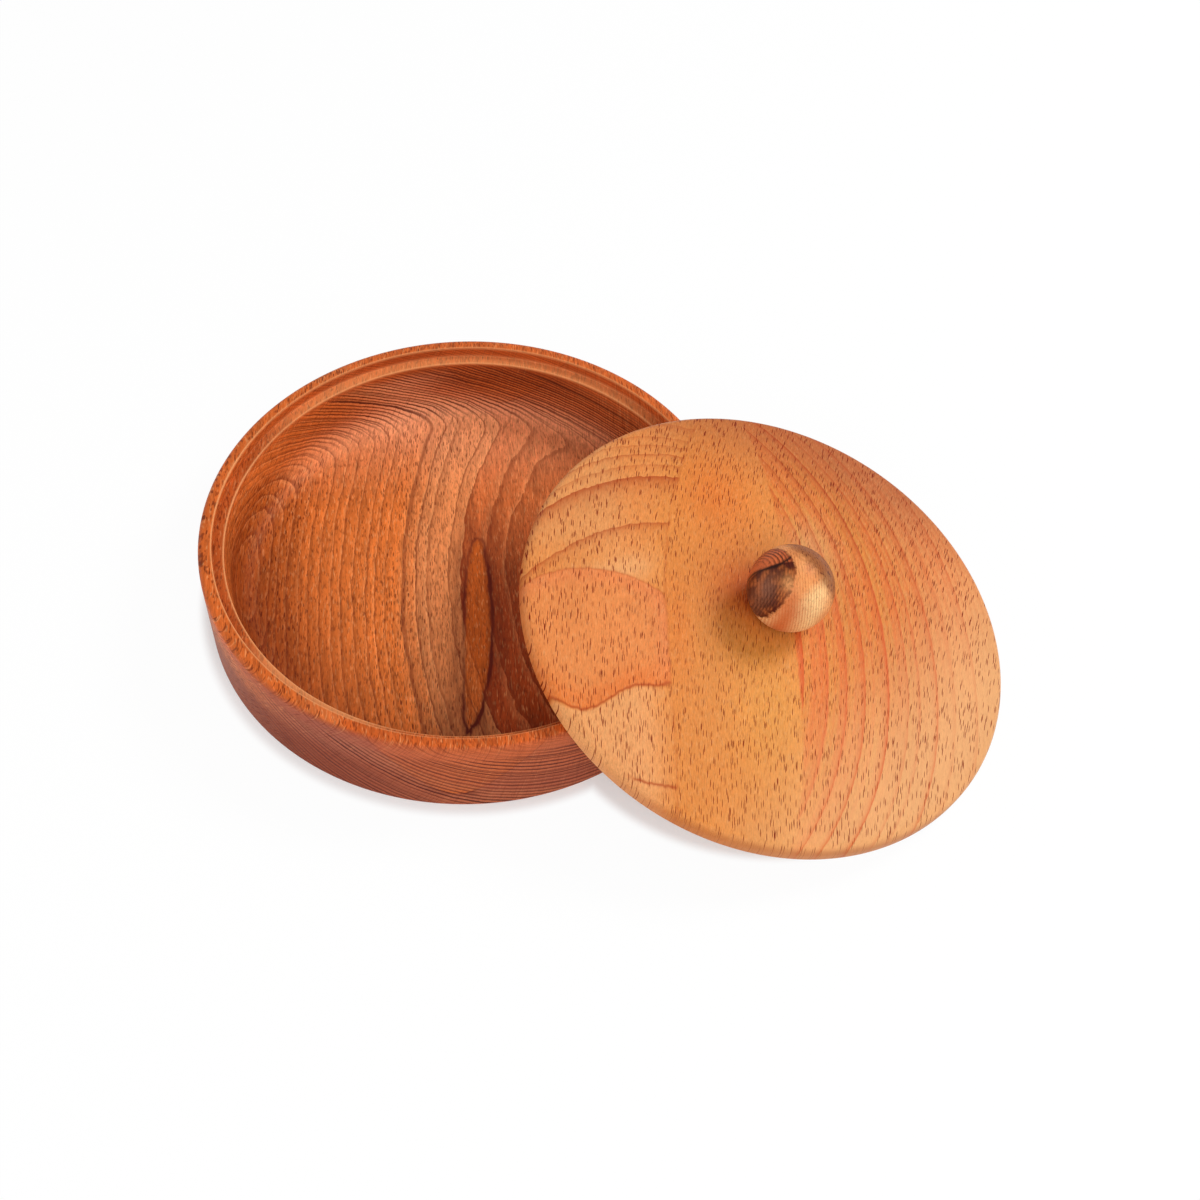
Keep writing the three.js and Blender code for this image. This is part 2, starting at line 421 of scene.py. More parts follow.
def lid_path():
    """Section of the lid: hollow underside, seat ring, rounded edge, dome and the dowel's bore.

    The dome's height is crown - R + root(R squared - r squared). It meets the edge's round, of
    radius e, at the angle whose cosine is reach / (R - e).
    """
    lid = settings().lid
    bore = settings().knob.dowel_radius + settings().knob.dowel_play
    radius = dome_radius(lid)
    reach = lid.radius - lid.edge_upper_round
    meeting = math.degrees(math.acos(reach / (radius - lid.edge_upper_round)))
    meeting_r = reach + lid.edge_upper_round * math.cos(math.radians(meeting))
    under = np.linspace(bore, lid.radius - lid.seat_ring_width, num=40)
    over = np.linspace(meeting_r, bore, num=44)
    lower = lid.edge_lower_round
    underside = np.column_stack((under, hollow_height(lid, under)))
    lower_edge = arc((lid.radius - lower, lower), lower, -90, 0, steps=8)
    upper_edge = arc((reach, lid.edge_height), lid.edge_upper_round, 0, meeting, steps=12)
    dome = np.column_stack((over, lid.crown_height - radius + np.sqrt(radius**2 - over**2)))
    return np.vstack((underside, lower_edge, upper_edge, dome[1:]))


def knob_path():
    """Section of the knob: hole, flat, and an arc from the flat's edge over the ball.

    The flat lies root(R squared - seat radius squared) below the ball's centre.
    """
    knob = settings().knob
    flat = math.sqrt(knob.radius**2 - knob.seat_radius**2)
    centre_height = settings().lid.crown_height + knob.seat_gap + flat
    bore = knob.dowel_radius + knob.dowel_play
    start = -math.degrees(math.acos(knob.seat_radius / knob.radius))
    ball = arc((0, 0), knob.radius, start, 90, steps=72)
    ball[-1, 0] = 0
    hole = np.array(((0, knob.hole_depth - flat), (bore, knob.hole_depth - flat), (bore, -flat)))
    path = np.vstack((hole, ball))
    path[:, 1] += centre_height
    return evenly(path, step=1.5 * MM)


def dowel_path():
    """Section of the dowel: a rod chamfered at both ends."""
    knob = settings().knob
    lid = settings().lid
    low = float(hollow_height(lid, knob.dowel_radius + knob.dowel_play))
    high = lid.crown_height + knob.seat_gap + knob.hole_depth - knob.dowel_end_room
    rim = knob.dowel_radius
    chamfer = knob.dowel_chamfer
    radii = (0, rim - chamfer, rim, rim, rim - chamfer, 0)
    heights = (low, low, low + chamfer, high - chamfer, high, high)
    return evenly(np.column_stack((radii, heights)), step=2 * MM)


# Shader maths


def both_ways(operation):
    """An operator's method and its reflected form, each as a Math node."""

    def direct(self, other):
        return self.math(operation, self, other)

    def reflected(self, other):
        return self.math(operation, other, self)

    return direct, reflected


class Signal:
    """A node's output, so that shader maths reads as Python."""

    def __init__(self, graph, socket):
        self.graph = graph
        self.socket = socket

    def out(self, name):
        """Another output of the same node."""
        return Signal(self.graph, self.socket.node.outputs[name])

    def math(self, operation, *values):
        return self.graph.node("Math", {"operation": operation}, values)

    __add__, __radd__ = both_ways("ADD")
    __sub__, __rsub__ = both_ways("SUBTRACT")
    __mul__, __rmul__ = both_ways("MULTIPLY")
    __truediv__, __rtruediv__ = both_ways("DIVIDE")
    power, __rpow__ = both_ways("POWER")

    def __pow__(self, exponent):
        """A power. A square is a product, which holds for values below zero too."""
        return self * self if exponent == 2 else self.power(exponent)

    def __abs__(self):
        return self.math("ABSOLUTE", self)

    def root(self):
        return self.math("SQRT", self)

    def floor(self):
        return self.math("FLOOR", self)

    def fraction(self):
        return self.math("FRACT", self)

    def above(self, limit):
        """The part of the value above a limit, and 0 below it."""
        return (self - limit).greatest(0.0)

    def least(self, other, blend=0.0):
        """The lesser of two values; the corner between them is rounded over the blend's width."""
        return self.math("SMOOTH_MIN", self, other, blend)

    def greatest(self, other):
        """The greater of two values."""
        return self.math("MAXIMUM", self, other)

    def direction(self, other):
        """Angle of the point (other, self), in radians."""
        return self.math("ARCTAN2", self, other)

    def ease(self, start, end):
        """Goes smoothly from 0 at start to 1 at end; start may be the greater."""
        ends = {"Value": self, "From Min": start, "From Max": end}
        return self.graph.node("MapRange", {"interpolation_type": "SMOOTHSTEP"}, ends)

    def hump(self, width):
        """exp(-(value / width) squared): 1 at zero, fading on both sides."""
        return math.e ** (self**2 * (-1 / width**2))

    def bands(self, lines):
        """Growth rings at given places: each darkens up to its line and ends sharply behind it.

        lines holds (place, strength) pairs in rising order, at most ten. Gives the rings' broad shade
        and their thin lines.
        """
        room_before, room_after = 10, 3
        line_width = 0.4
        low = lines[0][0] - room_before
        span = lines[-1][0] + room_after - low
        stops = [(0.0, 0.0)]
        last = low
        for place, strength in lines:
            stops.append(((0.5 * (place + last) - low) / span, 0.3 * strength))
            stops.append(((place - low) / span, strength))
            stops.append(((place + line_width - low) / span, 0.0))
            last = place
        rise = self.graph.node("ValToRGB", {"stops": stops}, ((self - low) / span,))
        return rise**1.5, rise**6


class Graph:
    """Builds the nodes of a material or of the world."""

    nodes_per_row = 24

    def __init__(self, owner):
        owner.use_nodes = True
        self.owner = owner
        self.tree = owner.node_tree
        self.tree.nodes.clear()

    def node(self, kind, choices=None, sockets=None, output=0):
        """Adds a node: its choices first, then its sockets' values or links. Gives one output."""
        made = self.tree.nodes.new("ShaderNode" + kind)
        row, column = divmod(len(self.tree.nodes), self.nodes_per_row)
        made.location = (200 * column, -220 * row)
        for key, value in (choices or {}).items():
            if key == "stops":
                self.set_stops(made.color_ramp, value)
            else:
                setattr(made, key, value)
        pairs = sockets.items() if isinstance(sockets, dict) else enumerate(sockets or ())
        for key, value in pairs:
            if isinstance(value, Signal):
                self.tree.links.new(value.socket, made.inputs[key])
            else:
                made.inputs[key].default_value = value
        return Signal(self, made.outputs[output]) if made.outputs else None

    @staticmethod
    def set_stops(ramp, stops):
        """Fills a colour ramp with (position, grey value) stops, given in rising order."""
        ramp.elements[0].position = stops[0][0]
        ramp.elements[1].position = stops[-1][0]
        for position, value in stops[1:-1]:
            ramp.elements.new(position)
        for element, (position, value) in zip(ramp.elements, stops):
            element.color = (value, value, value, 1)

    def vector(self, x, y, z):
        return self.node("CombineXYZ", None, (x, y, z))

    def stored(self, name):
        """A value stored on the mesh's points."""
        return self.node("Attribute", {"attribute_name": name}, output="Fac")

    def noise(self, x, y=0.0, z=0.0, detail=2.0, roughness=0.5):
        """Soft noise round zero, about from -1 to 1, with one lump per unit."""
        lumps = {"Vector": self.vector(x, y, z), "Scale": 1.0, "Detail": detail, "Roughness": roughness}
        spread = 2.6
        return spread * (self.node("TexNoise", None, lumps) - 0.5)

    def chance(self, number):
        """A random value from 0 to 1 for each whole number."""
        return self.node("TexWhiteNoise", {"noise_dimensions": "1D"}, {"W": number})

    def mix(self, share, a, b):
        """Colour a where share is 0 and b where it is 1."""
        colours = [tuple(c) + (1.0,) if not isinstance(c, Signal) else c for c in (a, b)]

        # Numbers of the sockets that are for colours: their names aren't unique.
        sockets = {0: share, 6: colours[0], 7: colours[1]}
        return self.node("Mix", {"data_type": "RGBA"}, sockets, output=2)

    def brighten(self, colour_signal, factor):
        """The colour times a number."""
        sockets = {"Vector": colour_signal, "Scale": factor}
        return self.node("VectorMath", {"operation": "SCALE"}, sockets)

    def finish(self, colour_signal, roughness, height, relief):
        """Puts colour, roughness and relief in metres on a Principled shader, as oiled wood."""
        normal = self.node("Bump", None, {"Strength": 1.0, "Distance": relief, "Height": height})
        figure = {"Base Color": colour_signal, "Roughness": roughness, "Normal": normal}
        oil = {"IOR": 1.45, "Specular IOR Level": 0.12}
        shader = self.node("BsdfPrincipled", None, figure | oil)
        self.node("OutputMaterial", None, {"Surface": shader})
        return self.owner


# Materials


def own_point(graph, pose=Matrix.Identity(4)):
    """x, y and z in millimetres in a piece's own frame."""
    where = graph.node("TexCoord", output="Object")
    move = {"Location": pose.to_translation(), "Rotation": pose.to_euler("XYZ"), "Scale": (MM, MM, MM)}
    place = graph.node("Mapping", {"vector_type": "TEXTURE"}, {"Vector": where} | move)
    parts = graph.node("SeparateXYZ", None, (place,))
    return parts, parts.out("Y"), parts.out("Z")


def specks(graph, deep, along, across, size, share, seed):
    """Wide medullary rays: plates deep towards the pith, long along the grain and thin across it.

    size is (depth, length, width) of the cells in millimetres, and share the part of them with a ray.
    """
    cell = graph.vector(deep / size[0] + seed, along / size[1], across / size[2])
    spot = graph.node("TexVoronoi", {"feature": "F1"}, {"Vector": cell, "Scale": 1.0})
    pick = graph.node("SeparateColor", None, (spot.out("Color"),))
    chosen = pick.ease(share, share - 0.02)
    return spot.ease(0.44, 0.28) * chosen * (0.5 + 0.5 * pick.out("Green"))


def strokes(graph, deep, along, across, size, start, end):
    """Narrow rays and pores as dense ragged strokes. They begin and are full at two noise levels."""
    raw = graph.noise(deep / size[0], along / size[1], across / size[2], 1.0)
    return raw.ease(start, end)


def bowl_rings(g, wood, x, y, z):
    """Growth rings of the box, whose pith lies above on the right, along the grain.

    Gives the distance from the pith, the ring's number from the heart's edge on, the place within
    the ring from 0 to 1, and the way round the pith.
    """
    dx = x - wood.pith_x
    dz = wood.pith_z - z
    slow = 0.5 * g.noise(x / 38, y / 90, z / 30)
    wave = 0.4 * g.noise(x / 10, y / 13, z / 10)
    tremble = 0.16 * g.noise(x / 1.6, y / 6, z / 1.2, 2.0)
    from_pith = (dx**2 + dz**2).root() + wood.sweep * (y + 5) ** 2
    deep = from_pith + slow + wave + tremble
    ring = (deep - wood.heart_edge) / wood.ring_width + 0.75 * g.noise(deep / 5.5)
    mean_distance = 150.0
    return deep, ring.floor(), ring.fraction(), dx.direction(dz) * mean_distance


def bowl_zones(g, wood, x, y, z, deep, number, rim_part):
    """Zones of colour in the box's wood. Each ends at a ring, and each ring has its own tint."""
    heart = number.ease(-0.2, -0.8)
    tan = number.ease(3.2, 2.8)
    outer = deep.ease(172, 188)
    tone = g.mix(tan, wood.orange, wood.tan)
    tone = g.mix(heart, tone, g.mix(y.ease(45, -25), wood.heart, wood.deep_heart))
    tone = g.mix(0.75 * outer, tone, wood.outer)
    tone = g.mix(0.75 * rim_part, tone, wood.rim)
    tint = g.chance(number + 31.0)
    return g.brighten(tone, 0.9 + 0.18 * tint + 0.06 * g.noise(x / 20, y / 45, z / 16))


def bowl_wedge(g, x, y, z, on_floor):
    """Wedge of orange wood that runs along the grain, with a hyperbola as its section.

    Gives the share inside it and the strength of its dark outline.
    """
    way = y + 10
    keel_x = 2.5 + 0.0014 * way * abs(way)
    keel_z = 4.9 + 0.00062 * (y + 24) ** 2 + 0.12 * g.noise(y / 7)
    beside = x - keel_x
    spread = (256.0 + 1.78 * beside**2).root()
    edge = z - keel_z - spread + 16.0 + 0.22 * g.noise(x / 2.2, y / 6, z / 2.2)
    slope = 1.78 * abs(beside) / spread + 0.08
    ragged = g.noise(x / 5, y / 16)
    outline = (edge / slope + 0.4 + 0.3 * ragged).hump(0.55) * (0.6 + 0.4 * y.ease(16, -8))
    outline *= 0.7 + 0.5 * ragged + 0.2 * beside.ease(-2, 2)
    halo = (edge / slope + 2.0).hump(2.8) * (0.8 + 0.6 * ragged)
    wall_outline = edge.hump(0.30) * z.ease(7, 12)
    return edge.ease(-0.08, 0.1), on_floor * (0.85 * outline + 0.5 * halo) + 0.3 * wall_outline


def bowl_patches(g, wood, tone, x, y, z, facing_out):
    """Painted shade at the top of the back inner wall under the rim, a pale patch beside it, and a small
    knot in the outer wall.
    """
    # Painted shade at the top of the back inner wall, just under the rim.
    dark = (x - 20).hump(28) * y.ease(62, 78) * z.ease(17, 23) * z.ease(29.8, 29.0)
    tone = g.mix(0.4 * dark, tone, wood.streak)
    pale = (x + 22).hump(14) * y.ease(58, 75) * z.ease(29, 24) * (1.0 - facing_out)
    tone = g.mix(0.35 * pale, tone, wood.cove)
    knot = ((x + 64.8) ** 2 + (y + 69.5) ** 2 + (1.3 * (z - 8)) ** 2).root() - 1.5
    return g.mix(0.55 * knot.ease(4.0, 0.0), tone, wood.streak)


def bowl_edges(g, wood, tone, x, y, z, radius, front_left):
    """Painted light on the ledge, a highlight at the front left and lighter at the back, the ledge darker
    at the left, and inner edges paler, partly rubbed and partly a painted highlight.
    """
    # Painted highlight on the ledge at the front left, and painted light at the back; the ledge is darker
    # at the left.
    on_ledge = (z - 30.3).hump(0.8) * radius.ease(92.0, 90.4) * radius.ease(84.0, 86.0)
    pale = y.ease(-40, -60) * x.ease(-20, -45) + 0.6 * y.ease(35, 70)
    tone = g.mix(0.6 * on_ledge * pale, tone, wood.early)
    dark = x.ease(-58, -80) * y.ease(-50, -30)
    tone = g.mix(0.35 * on_ledge * dark, tone, wood.late)
    # Inner edges of rim and ledge paler: partly rubbed, partly a painted highlight, most at the front
    # left.
    rim_edge = (radius - 90.1).hump(0.35) * z.ease(33.5, 34.3)
    ledge_edge = (radius - 86.4).hump(0.35) * (z - 30.0).hump(0.5)
    wear_and_highlight = 0.45 + 0.4 * front_left.ease(0, 40)
    return g.mix(wear_and_highlight * (rim_edge + ledge_edge), tone, wood.early)


def bowl_material():
    """The box's beech. Its grain runs away from the viewer."""
    wood = settings().bowl_wood
    g = Graph(bpy.data.materials.new("bowl_beech"))
    x, y, z = own_point(g)
    radius_squared = x**2 + y**2
    facing_out = radius_squared.ease(91.1**2, 93.8**2)
    rim_part = z.ease(26, 30)
    on_floor = z.ease(12, 7)
    front_left = -40.0 - x - 0.4 * y

    # Each ring goes from pale early wood to dark late wood and ends in a line, faintly on the rim.
    deep, number, phase, around = bowl_rings(g, wood, x, y, z)
    tone = bowl_zones(g, wood, x, y, z, deep, number, rim_part)
    bold = 0.25 + 0.5 * g.chance(number) + 0.25 * deep.ease(166, 154)
    shown = 1.0 - 0.7 * rim_part
    late = phase**1.6 * (0.5 + 0.5 * bold)
    line = phase.ease(0.80, 0.93) * phase.ease(1.0, 0.97) * bold
    early = phase.ease(0.3, 0.0) * bold
    tone = g.mix(0.45 * late * shown, tone, g.brighten(tone, 0.4))
    tone = g.mix(0.35 * early * shown, tone, wood.early)

    # End grain drinks more oil.
    cut = g.stored("end_grain").ease(0.35, 0.95)
    along = 1.0 - cut
    # A painted highlight in the cove at the back.
    cove = (z - 9).hump(6.0) * y.ease(35, 75) * (1.0 - facing_out)
    tone = g.mix(0.5 * cut, tone, wood.inner_end)
    tone = g.mix(0.45 * cove, tone, wood.cove)
    outside = g.mix(x.ease(-55, 0) * (0.6 + 0.4 * z.ease(5, 25)), wood.outer_end, wood.front_end)
    tone = g.mix(0.75 * cut * facing_out, tone, outside)

    inside, outline = bowl_wedge(g, x, y, z, on_floor)
    wedge = g.mix(inside * z.ease(24, 30), wood.wedge, wood.wedge_rim)
    tone = g.mix(inside * (0.25 + 0.6 * on_floor), tone, wedge)
    tone = bowl_patches(g, wood, tone, x, y, z, facing_out)

    # Rays, fibres and pores. In end grain the rings show as hair lines.
    dark = strokes(g, deep, y, around, (16.0, 2.8, 0.42), 0.10, 0.5) * (0.35 + 0.65 * along)
    pale = strokes(g, deep + 90.0, y, around, (16.0, 3.4, 0.46), 0.15, 0.6) * (1.0 - 0.8 * cut)
    rays = specks(g, deep, y, around, (26.0, 3.2, 0.42), 0.26, 0.0) * (0.3 + 0.7 * along)
    thread = g.noise(x / 0.42, y / 3.6, z / 0.42, 3.0, 0.7)
    fibre = g.noise(x / 1.1, y / 11, z / 1.1, 2.0, 0.6)
    hair = (deep / 1.2).fraction().ease(0.5, 0.8) * (1.0 - facing_out)
    hair += (deep / 1.9).fraction().ease(0.45, 0.8) * facing_out * (0.75 + 0.6 * g.noise(deep / 3))
    # Painted shade on the floor at the front left, under the front wall, with darker rays there.
    painted_front_shade = front_left.ease(0, 55) * z.ease(24, 14)
    tone = g.mix(0.42 * pale, tone, wood.early)
    tone = g.mix(dark * (0.44 + 0.2 * painted_front_shade + 0.2 * rim_part), tone, wood.ray)
    light = 1.02 + 0.38 * thread + 0.40 * fibre * along + 0.16 * cut
    tone = g.brighten(g.mix(0.7 * painted_front_shade, tone, wood.painted_front_shade), light)
    tone = g.mix(0.85 * hair * cut * shown, tone, wood.end_line)
    tone = g.mix(outline, tone, wood.streak)
    tone = g.mix(0.85 * rays, tone, wood.ray)
    tone = g.mix(line * shown * (0.6 + 0.4 * cut), tone, g.mix(cut, wood.late, wood.end_line))

    tone = bowl_edges(g, wood, tone, x, y, z, radius_squared.root(), front_left)
    rough = 0.46 + 0.08 * thread + 0.12 * rays + 0.1 * cut
    height = 0.5 - 0.4 * rays - 0.2 * dark - 0.3 * line + 0.12 * thread + 0.1 * fibre
    return g.finish(tone, rough, height, 0.10 * MM)


def lid_left(g, wood, x, y, ragged, soft_left):
    """Left part of the lid: the tone and the lines of the cathedral figure and the island in it."""
    arch = y + 0.0088 * (x + 34) ** 2 + ragged
    arches, arch_lines = arch.bands(
        ((33, 0.95), (54, 1.0), (59.5, 0.8), (64.5, 0.9), (69, 0.8), (73, 0.8), (80, 0.8))
    )
    foot = y + 66.0 + 0.4 * (x + 55) - 0.014 * (x + 55) ** 2 + ragged
    island_top = 11.5 - 0.014 * (x + 65) ** 2 - y
    island_foot = y + 42.5 - 9.5 * x.ease(-70, -50) - 0.05 * (-70.0 - x).above(0.0) ** 2
    island = island_top.least(island_foot, 1.0).least(-38.5 - x, 9.0) + 0.9 * ragged
    on_island = island.ease(-0.2, 0.3)
    outline = island.hump(0.55) * (0.45 + 0.55 * island_top.ease(8, 40))
    low_band = (island_foot - 1.0).hump(7.0) * on_island
    tone = g.mix(soft_left * (0.4 + 0.3 * arch.ease(-20, -50)), wood.middle, wood.honey)
    tone = g.mix(0.4 * soft_left * island_foot.ease(-0.2, -1.5), tone, wood.pale)
    tone = g.mix(on_island * (0.42 + 0.45 * (island - 2.0).hump(4.0)), tone, wood.island)
    tone = g.mix(0.6 * low_band, tone, wood.orange)
    tone = g.mix((arch - 15).hump(6.0) * (1.0 - on_island) * soft_left * 0.5, tone, wood.pale)
    tone = g.mix(0.25 * y.ease(10, 30) * x.ease(-45, -60), tone, wood.pale)
    tone = g.mix(0.38 * arches, tone, wood.line)
    return tone, arch_lines + outline + foot.hump(0.6) * x.ease(-58, -52)


def lid_middle(g, wood, x, y):
    """Plain wood in the middle of the lid, with a greenish yellow and two orange clouds."""
    tone = g.mix(0.6 * (x + 5).hump(16) * (y + 35).hump(34), wood.middle, wood.olive)
    tone = g.mix(0.7 * (x + 17).hump(14) * (y - 48).hump(20), tone, wood.orange)
    return g.mix(0.45 * (x + 36).hump(5) * (y + 10).hump(22), tone, wood.orange)


def lid_right(g, wood, x, y, z):
    """Right part of the lid: the tone and the lines of the growth rings, which show as arcs."""
    fray = 0.35 * g.noise(x / 1.3, y / 5, z / 9)
    bend = x + 0.0026 * (y + 8) ** 2 + 1.6e-7 * ((y + 8) ** 2) ** 2 + fray
    inner = ((8, 1.0), (17, 0.85), (24, 0.95), (31, 1.0), (40, 1.0))
    outer = ((47.5, 0.85), (52, 0.85), (59, 0.95), (66, 0.8), (75, 0.8))
    arcs, arc_lines = bend.bands(inner + outer)
    tone = g.mix(bend.ease(35, 75), wood.right, wood.honey)
    warm = g.noise(bend / 4.0, y / 90).ease(-0.3, 0.4) * bend.ease(75, 45)
    tone = g.mix(0.5 * warm, tone, wood.reddish)
    tone = g.mix(0.5 * arcs, tone, wood.arc)
    fine_ring = (bend / 2.5 + 0.5 * g.noise(bend / 6)).fraction()
    fine_ring = fine_ring.ease(0.35, 0.85) * fine_ring.ease(1.0, 0.92) * bend.ease(6, 14)
    return g.mix(0.28 * fine_ring, tone, wood.arc), arc_lines


def lid_material(pose):
    """The lid: cathedral figure on the left, plain wood in the middle, arcs of rings on the right."""
    wood = settings().lid_wood
    g = Graph(bpy.data.materials.new("lid_beech"))
    x, y, z = own_point(g, pose)
    cut = g.stored("end_grain").ease(0.5, 0.95)

    # Where the three parts meet. A faint seam shows along the left part.
    ragged = 0.7 * g.noise(x / 2.2, y / 3.5, z / 9) + 0.5 * g.noise(x / 9, y / 12)
    left_edge = 0.0024 * (y + 10).above(0.0) ** 2 - 40.0
    right_edge = 5.5 - 1.4e-7 * (y**2) ** 2
    past_left = x - left_edge + 1.2 * ragged
    left = past_left.ease(0.9, -0.9)
    seam = past_left.hump(0.5) * (0.3 + 0.4 * g.noise(x / 9, y / 7))
    soft_left = (x - left_edge + 2.0 * ragged).ease(2.0, -12.0)
    right = (x - right_edge + 0.6 * ragged).ease(-0.6, 0.6)
    left_tone, left_lines = lid_left(g, wood, x, y, ragged, soft_left)
    right_tone, arc_lines = lid_right(g, wood, x, y, z)
    tone = g.mix(left, lid_middle(g, wood, x, y), left_tone)
    tone = g.mix(right, tone, right_tone)
    lines = left * left_lines + seam
    arc_lines = right * arc_lines

    # Broad tones over all three: paler to the lower right, partly the wood and partly a painted highlight;
    # and the knob's painted shadow beside it.
    mottle = g.noise(x / 1.3, y / 2.6, z / 3, 3.0, 0.7)
    tone = g.mix(0.5 * mottle.ease(0.0, 1.0), tone, wood.reddish)
    tone = g.mix(0.35 * mottle.ease(0.0, -1.0), tone, wood.pale)
    # Paler towards the lower right: partly the wood, partly a painted highlight.
    tone = g.mix(0.75 * (x - 0.9 * y - 32).ease(0, 75), tone, wood.pale)
    tone = g.mix(0.75 * (y + 0.35 * x).ease(45, 92), tone, wood.shade)
    # Painted shadow of the knob on the lid, beside its foot.
    tone = g.mix(0.8 * (x + 9).hump(15) * (y - 6).hump(15), tone, wood.pool)
    tone = g.mix(0.4 * (x - 17).hump(10) * (y - 27).hump(14), tone, wood.pale)
    cloud = g.noise(x / 22, y / 50, z / 25)
    tone = g.brighten(tone, 1.0 + 0.09 * cloud - 0.08 * right * x.ease(0, 60))

    # Rays and fibres lean to the right, the more so higher up and further right.
    lean = x - 0.0006 * (y + 70) ** 2 - 0.0017 * (x + 60) * y
    rays = specks(g, z, y, lean, (40.0, 3.9, 0.35), 0.19, 3.0)
    fine = strokes(g, z, y, lean, (30.0, 2.0, 0.38), 0.16, 0.6)
    pale = strokes(g, z + 60.0, y, lean, (30.0, 2.4, 0.42), 0.2, 0.6)
    thread = g.noise(lean / 0.40, y / 3.2, z / 0.4, 3.0, 0.7)
    calm = 1.0 - 0.5 * (x - 0.8 * y).ease(10, 90)
    tone = g.mix(0.16 * pale, tone, wood.pale)
    tone = g.mix(0.28 * calm * fine, tone, wood.ray)
    tone = g.mix((1.5 - 0.9 * cut) * rays, tone, wood.ray)
    tone = g.brighten(tone, 1.04 + 0.32 * calm * thread)
    tone = g.mix(0.7 * lines, tone, wood.line)
    tone = g.mix(0.8 * arc_lines, tone, g.mix(y.ease(-15, 45), wood.arc, wood.line))
    tone = g.mix(0.5 * cut, tone, wood.shade)
    rough = 0.44 + 0.08 * thread + 0.12 * rays
    height = 0.5 - 0.5 * rays - 0.2 * fine - 0.2 * (lines + arc_lines) + 0.1 * thread
    return g.finish(tone, rough, height, 0.10 * MM)


def knob_pale_side(g, wood, x, y, z, up, ragged, hatch, dashes):
    """Pale wood of the knob with fine turning marks, painted shade at the upper right and a painted
    highlight at the lower front.
    """
    # Painted shade on the upper right of the ball and a painted highlight on its lower front.
    shaded = (x + up + 1.6 * ragged).ease(7, 14)
    painted_highlight = (x - up + 1.3 * ragged).ease(-3, 4) * (1.0 - 0.75 * x.ease(4, 11))
    tone = g.mix(painted_highlight, wood.pale, wood.highlight_cream)
    blush = g.noise(x / 3.5, y / 6, z / 3.5, 3.0).ease(-0.3, 0.4)
    tone = g.mix(0.3 * blush * (1.0 - 0.6 * painted_highlight), tone, wood.pink)
    tone = g.mix(hatch * (0.32 + 0.15 * painted_highlight + 0.2 * ragged), tone, wood.pink)
    tone = g.mix(0.8 * shaded, tone, wood.painted_shade_brown)
    tone = g.mix(dashes * (0.3 + 0.6 * shaded), tone, wood.maroon)
    foot = (x + 4.5).hump(5.0) * (y + 14.0).hump(4.5)
    return g.mix(0.9 * foot, tone, wood.pink)


def knob_heart(g, wood, x, y, z, up, ragged, hatch, dashes, edge, line):
    """Dark heart of the knob: redder and striped above, with a flame of pale wood at its edge."""
    upper = y.ease(0.6, 1.6)
    cloud = g.noise(x / 5, y / 5, z / 5, 3.0)
    tone = g.mix((cloud - 0.05).ease(-0.25, 0.35), wood.maroon, wood.heart)
    tone = g.mix(0.7 * (x + 12.0).hump(3.6) * (y + 6.0).hump(5.0), tone, wood.grey)
    tone = g.mix(0.35 * hatch, tone, wood.maroon)
    tone = g.mix(upper, tone, wood.red)
    tone = g.mix(line * (edge + 2.5).hump(2.6) * (0.45 + 0.35 * upper), tone, wood.streak)
    tone = g.mix(0.7 * edge.hump(0.9), tone, wood.maroon)
    flame = (x + 6.0).hump(2.0) * (up - 2.8 + 0.8 * ragged).hump(2.6)
    tone = g.mix(0.75 * flame, tone, wood.pale)
    return g.mix(0.35 * dashes, tone, wood.streak)


def knob_material(pose):
    """The knob: dark heart on the left, with a black streak, and pale wood on the right."""
    wood = settings().knob_wood
    g = Graph(bpy.data.materials.new("knob_beech"))
    x, y, z = own_point(g, pose)
    ball_height = 27.0
    ragged = g.noise(x / 1.1, y / 1.1, z / 1.1) + 0.8 * g.noise(x / 4, y / 4, z / 4)
    edge = x + 4.0 + 0.012 * (y + 4) ** 2 + 0.3 * (41.0 - z) + 0.75 * ragged
    dark = edge.ease(0.5, -0.5)
    ring = ((x + 0.03 * y**2 + 0.15 * ragged) / 1.15).fraction()
    line = ring.ease(0.2, 0.75) * ring.ease(1.0, 0.85)
    streak = (y - 0.5 - 0.08 * (x + 10.5) ** 2 + 0.3 * ragged).hump(0.75)
    dashes = strokes(g, x, y, z, (0.45, 1.5, 1.2), 0.15, 0.5)
    across = 0.97 * x + 0.24 * (z - ball_height)
    hatch = (across / 0.95 + 0.12 * ragged).fraction().ease(0.25, 0.8)

    # Way up the side that faces the viewer, from below the ball's middle to above it.
    up = 0.764 * y + 0.645 * (z - ball_height)
    pale = knob_pale_side(g, wood, x, y, z, up, ragged, hatch, dashes)
    heart = knob_heart(g, wood, x, y, z, up, ragged, hatch, dashes, edge, line)
    tone = g.mix(dark, pale, heart)
    tone = g.mix(0.9 * streak * dark, tone, wood.streak)
    # Painted contact shadow round the foot of the ball, where it meets the lid.
    tone = g.mix(0.6 * (z - 14.5).hump(1.6), tone, wood.maroon)
    thread = g.noise(x / 0.4, y / 1.5, z / 0.5, 3.0)
    tone = g.brighten(tone, 1.0 + 0.16 * thread)
    return g.finish(tone, 0.42 + 0.08 * thread, 0.5 + 0.12 * thread - 0.15 * line, 0.08 * MM)


